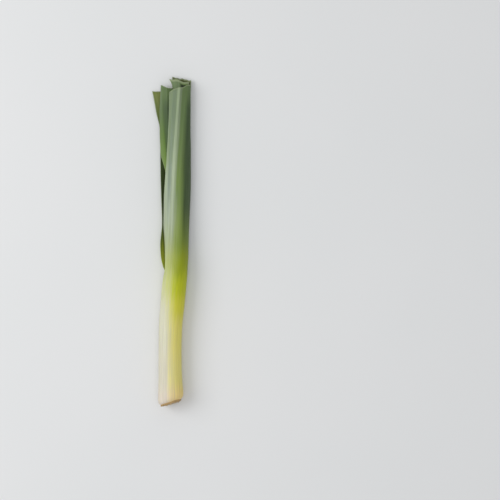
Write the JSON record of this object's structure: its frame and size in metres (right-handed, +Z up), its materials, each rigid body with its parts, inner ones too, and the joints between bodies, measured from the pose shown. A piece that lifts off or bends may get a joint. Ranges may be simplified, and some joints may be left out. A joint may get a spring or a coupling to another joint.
{
  "type": "leek",
  "caption": "Baby leek lying down, with a pale round shank, a trimmed root plate at one end and folded green leaves nested in each other, cut across at the other.",
  "frame": {"origin": "on the surface that the leek lies on, under the middle of its overall length and width", "axes": "+Y along the leek from its root plate to its leaf tips, +Z up, +X to the right seen from above with the leaf tips away from the viewer"},
  "size_m": [0.0238, 0.1986, 0.0149],
  "materials": {
    "shank": "smooth, moist, cream-white leaf sheath turning yellow-green; leather stands in for plant tissue",
    "root_plate": "dry, fibrous, tan; wood stands in for plant tissue",
    "leaf": "waxy green leaf with a grey bloom; leather stands in for plant tissue"
  },
  "bodies": {
    "root": {"shank": "shank", "root_plate": "root_plate", "leaf_1": "leaf", "leaf_2": "leaf", "leaf_3": "leaf", "leaf_4": "leaf", "leaf_5": "leaf", "leaf_6": "leaf"}
  },
  "joints": []
}
